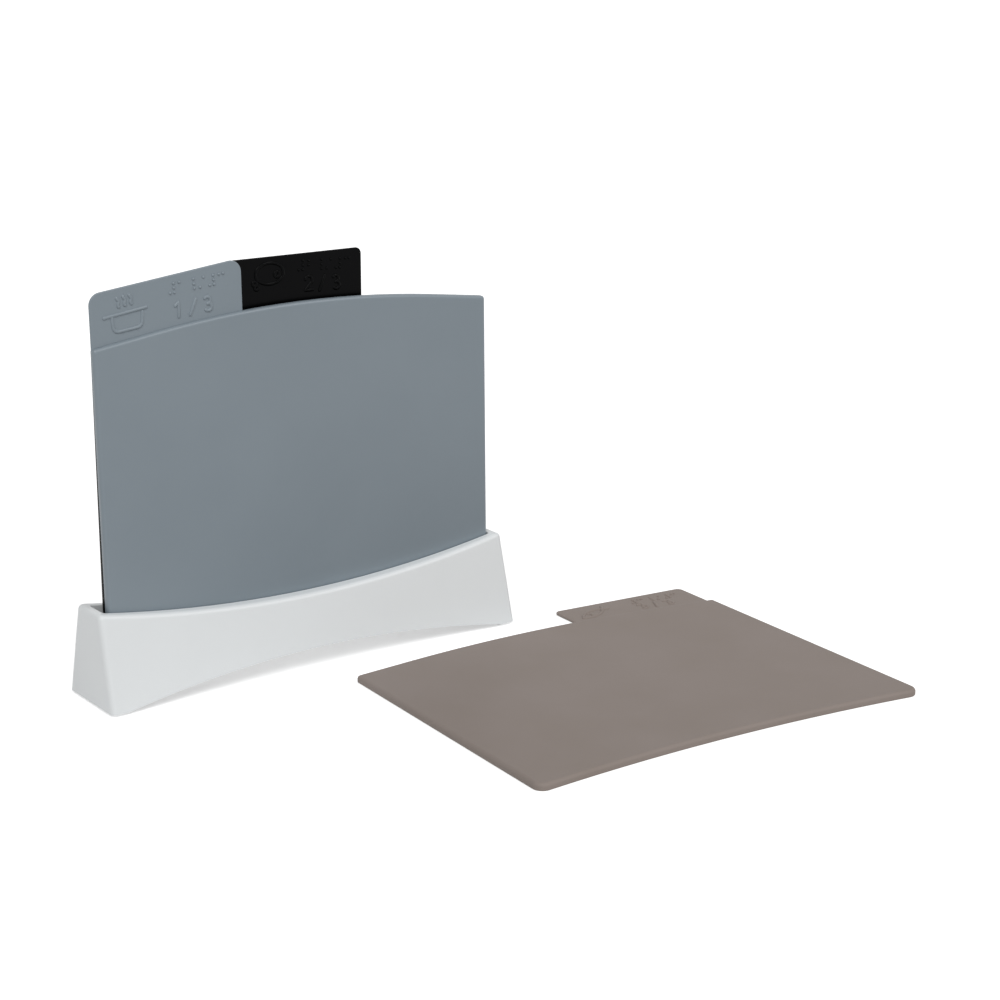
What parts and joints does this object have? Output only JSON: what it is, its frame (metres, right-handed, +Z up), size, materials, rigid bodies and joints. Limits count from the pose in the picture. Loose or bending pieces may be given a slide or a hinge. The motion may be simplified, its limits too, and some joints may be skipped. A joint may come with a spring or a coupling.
{
  "type": "cutting board set in holder",
  "caption": "Thin index cutting boards with tabs marked by touch: two stand in a white moulded holder with an arched base, one lies flat beside it.",
  "frame": {"origin": "on the table, under the middle of the whole set with the third board lying beside the holder", "axes": "+X along the holder, from its left end to its right end as seen from the front; +Y from front to back; +Z up"},
  "size_m": [0.3866, 0.2818, 0.2351],
  "materials": {
    "white_plastic": "satin moulded white plastic",
    "foot_rubber": "soft matte white",
    "grey_plastic": "fine matte blue-grey",
    "black_plastic": "fine matte black",
    "taupe_plastic": "fine matte taupe"
  },
  "bodies": {
    "holder": {"holder": "white_plastic", "foot_left": "foot_rubber", "foot_right": "foot_rubber"},
    "grey_board": {"grey_board": "grey_plastic"},
    "black_board": {"black_board": "black_plastic"},
    "taupe_board": {"taupe_board": "taupe_plastic"}
  },
  "joints": [
    {"name": "grey_board_lift", "type": "slide", "parent": "holder", "child": "grey_board", "axis": [0, 0, 1], "range_m": [0, 0.24]},
    {"name": "black_board_lift", "type": "slide", "parent": "holder", "child": "black_board", "axis": [0, 0, 1], "range_m": [0, 0.24]},
    {"name": "taupe_board_lift", "type": "slide", "parent": "holder", "child": "taupe_board", "axis": [0, 0, 1], "range_m": [0, 0.24]}
  ]
}
